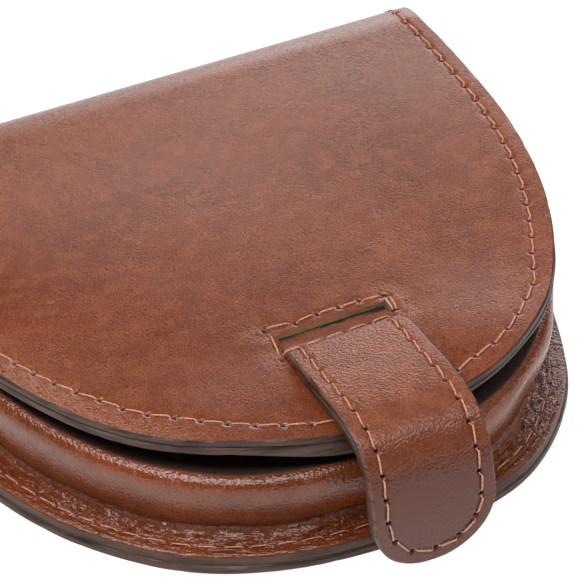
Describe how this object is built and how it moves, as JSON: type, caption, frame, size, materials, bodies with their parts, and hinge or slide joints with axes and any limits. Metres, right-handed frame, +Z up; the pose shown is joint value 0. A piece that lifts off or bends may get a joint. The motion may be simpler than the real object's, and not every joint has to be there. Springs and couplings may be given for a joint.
{
  "type": "leather coin purse",
  "caption": "Horseshoe-shaped leather coin purse with a moulded pouch under a folding lid, closed by a tab that comes out of a slit in the lid and snaps over the front.",
  "frame": {"origin": "middle of the bounding box in plan, on the surface that the base rests on", "axes": "+Z up through the lid, +Y towards the rounded spine, -Y the front where the tab comes down, +X to the right as seen from the front"},
  "size_m": [0.0782, 0.0872, 0.0197],
  "materials": {
    "cover_leather": "smooth brown calf leather, satin, fine pebble grain",
    "lining_leather": "matt brown flesh side with grey-brown painted edges",
    "shell_leather": "glossy brown leather, wet moulded, with creases along the rim",
    "tab_leather": "satin brown leather, dense grain",
    "stud_brass": "satin brass"
  },
  "bodies": {
    "root": {"cover": "cover_leather", "lid_lining": "lining_leather", "pouch_shell": "shell_leather", "tab_outer": "tab_leather", "tab_lining": "lining_leather", "press_stud": "stud_brass"}
  },
  "joints": []
}
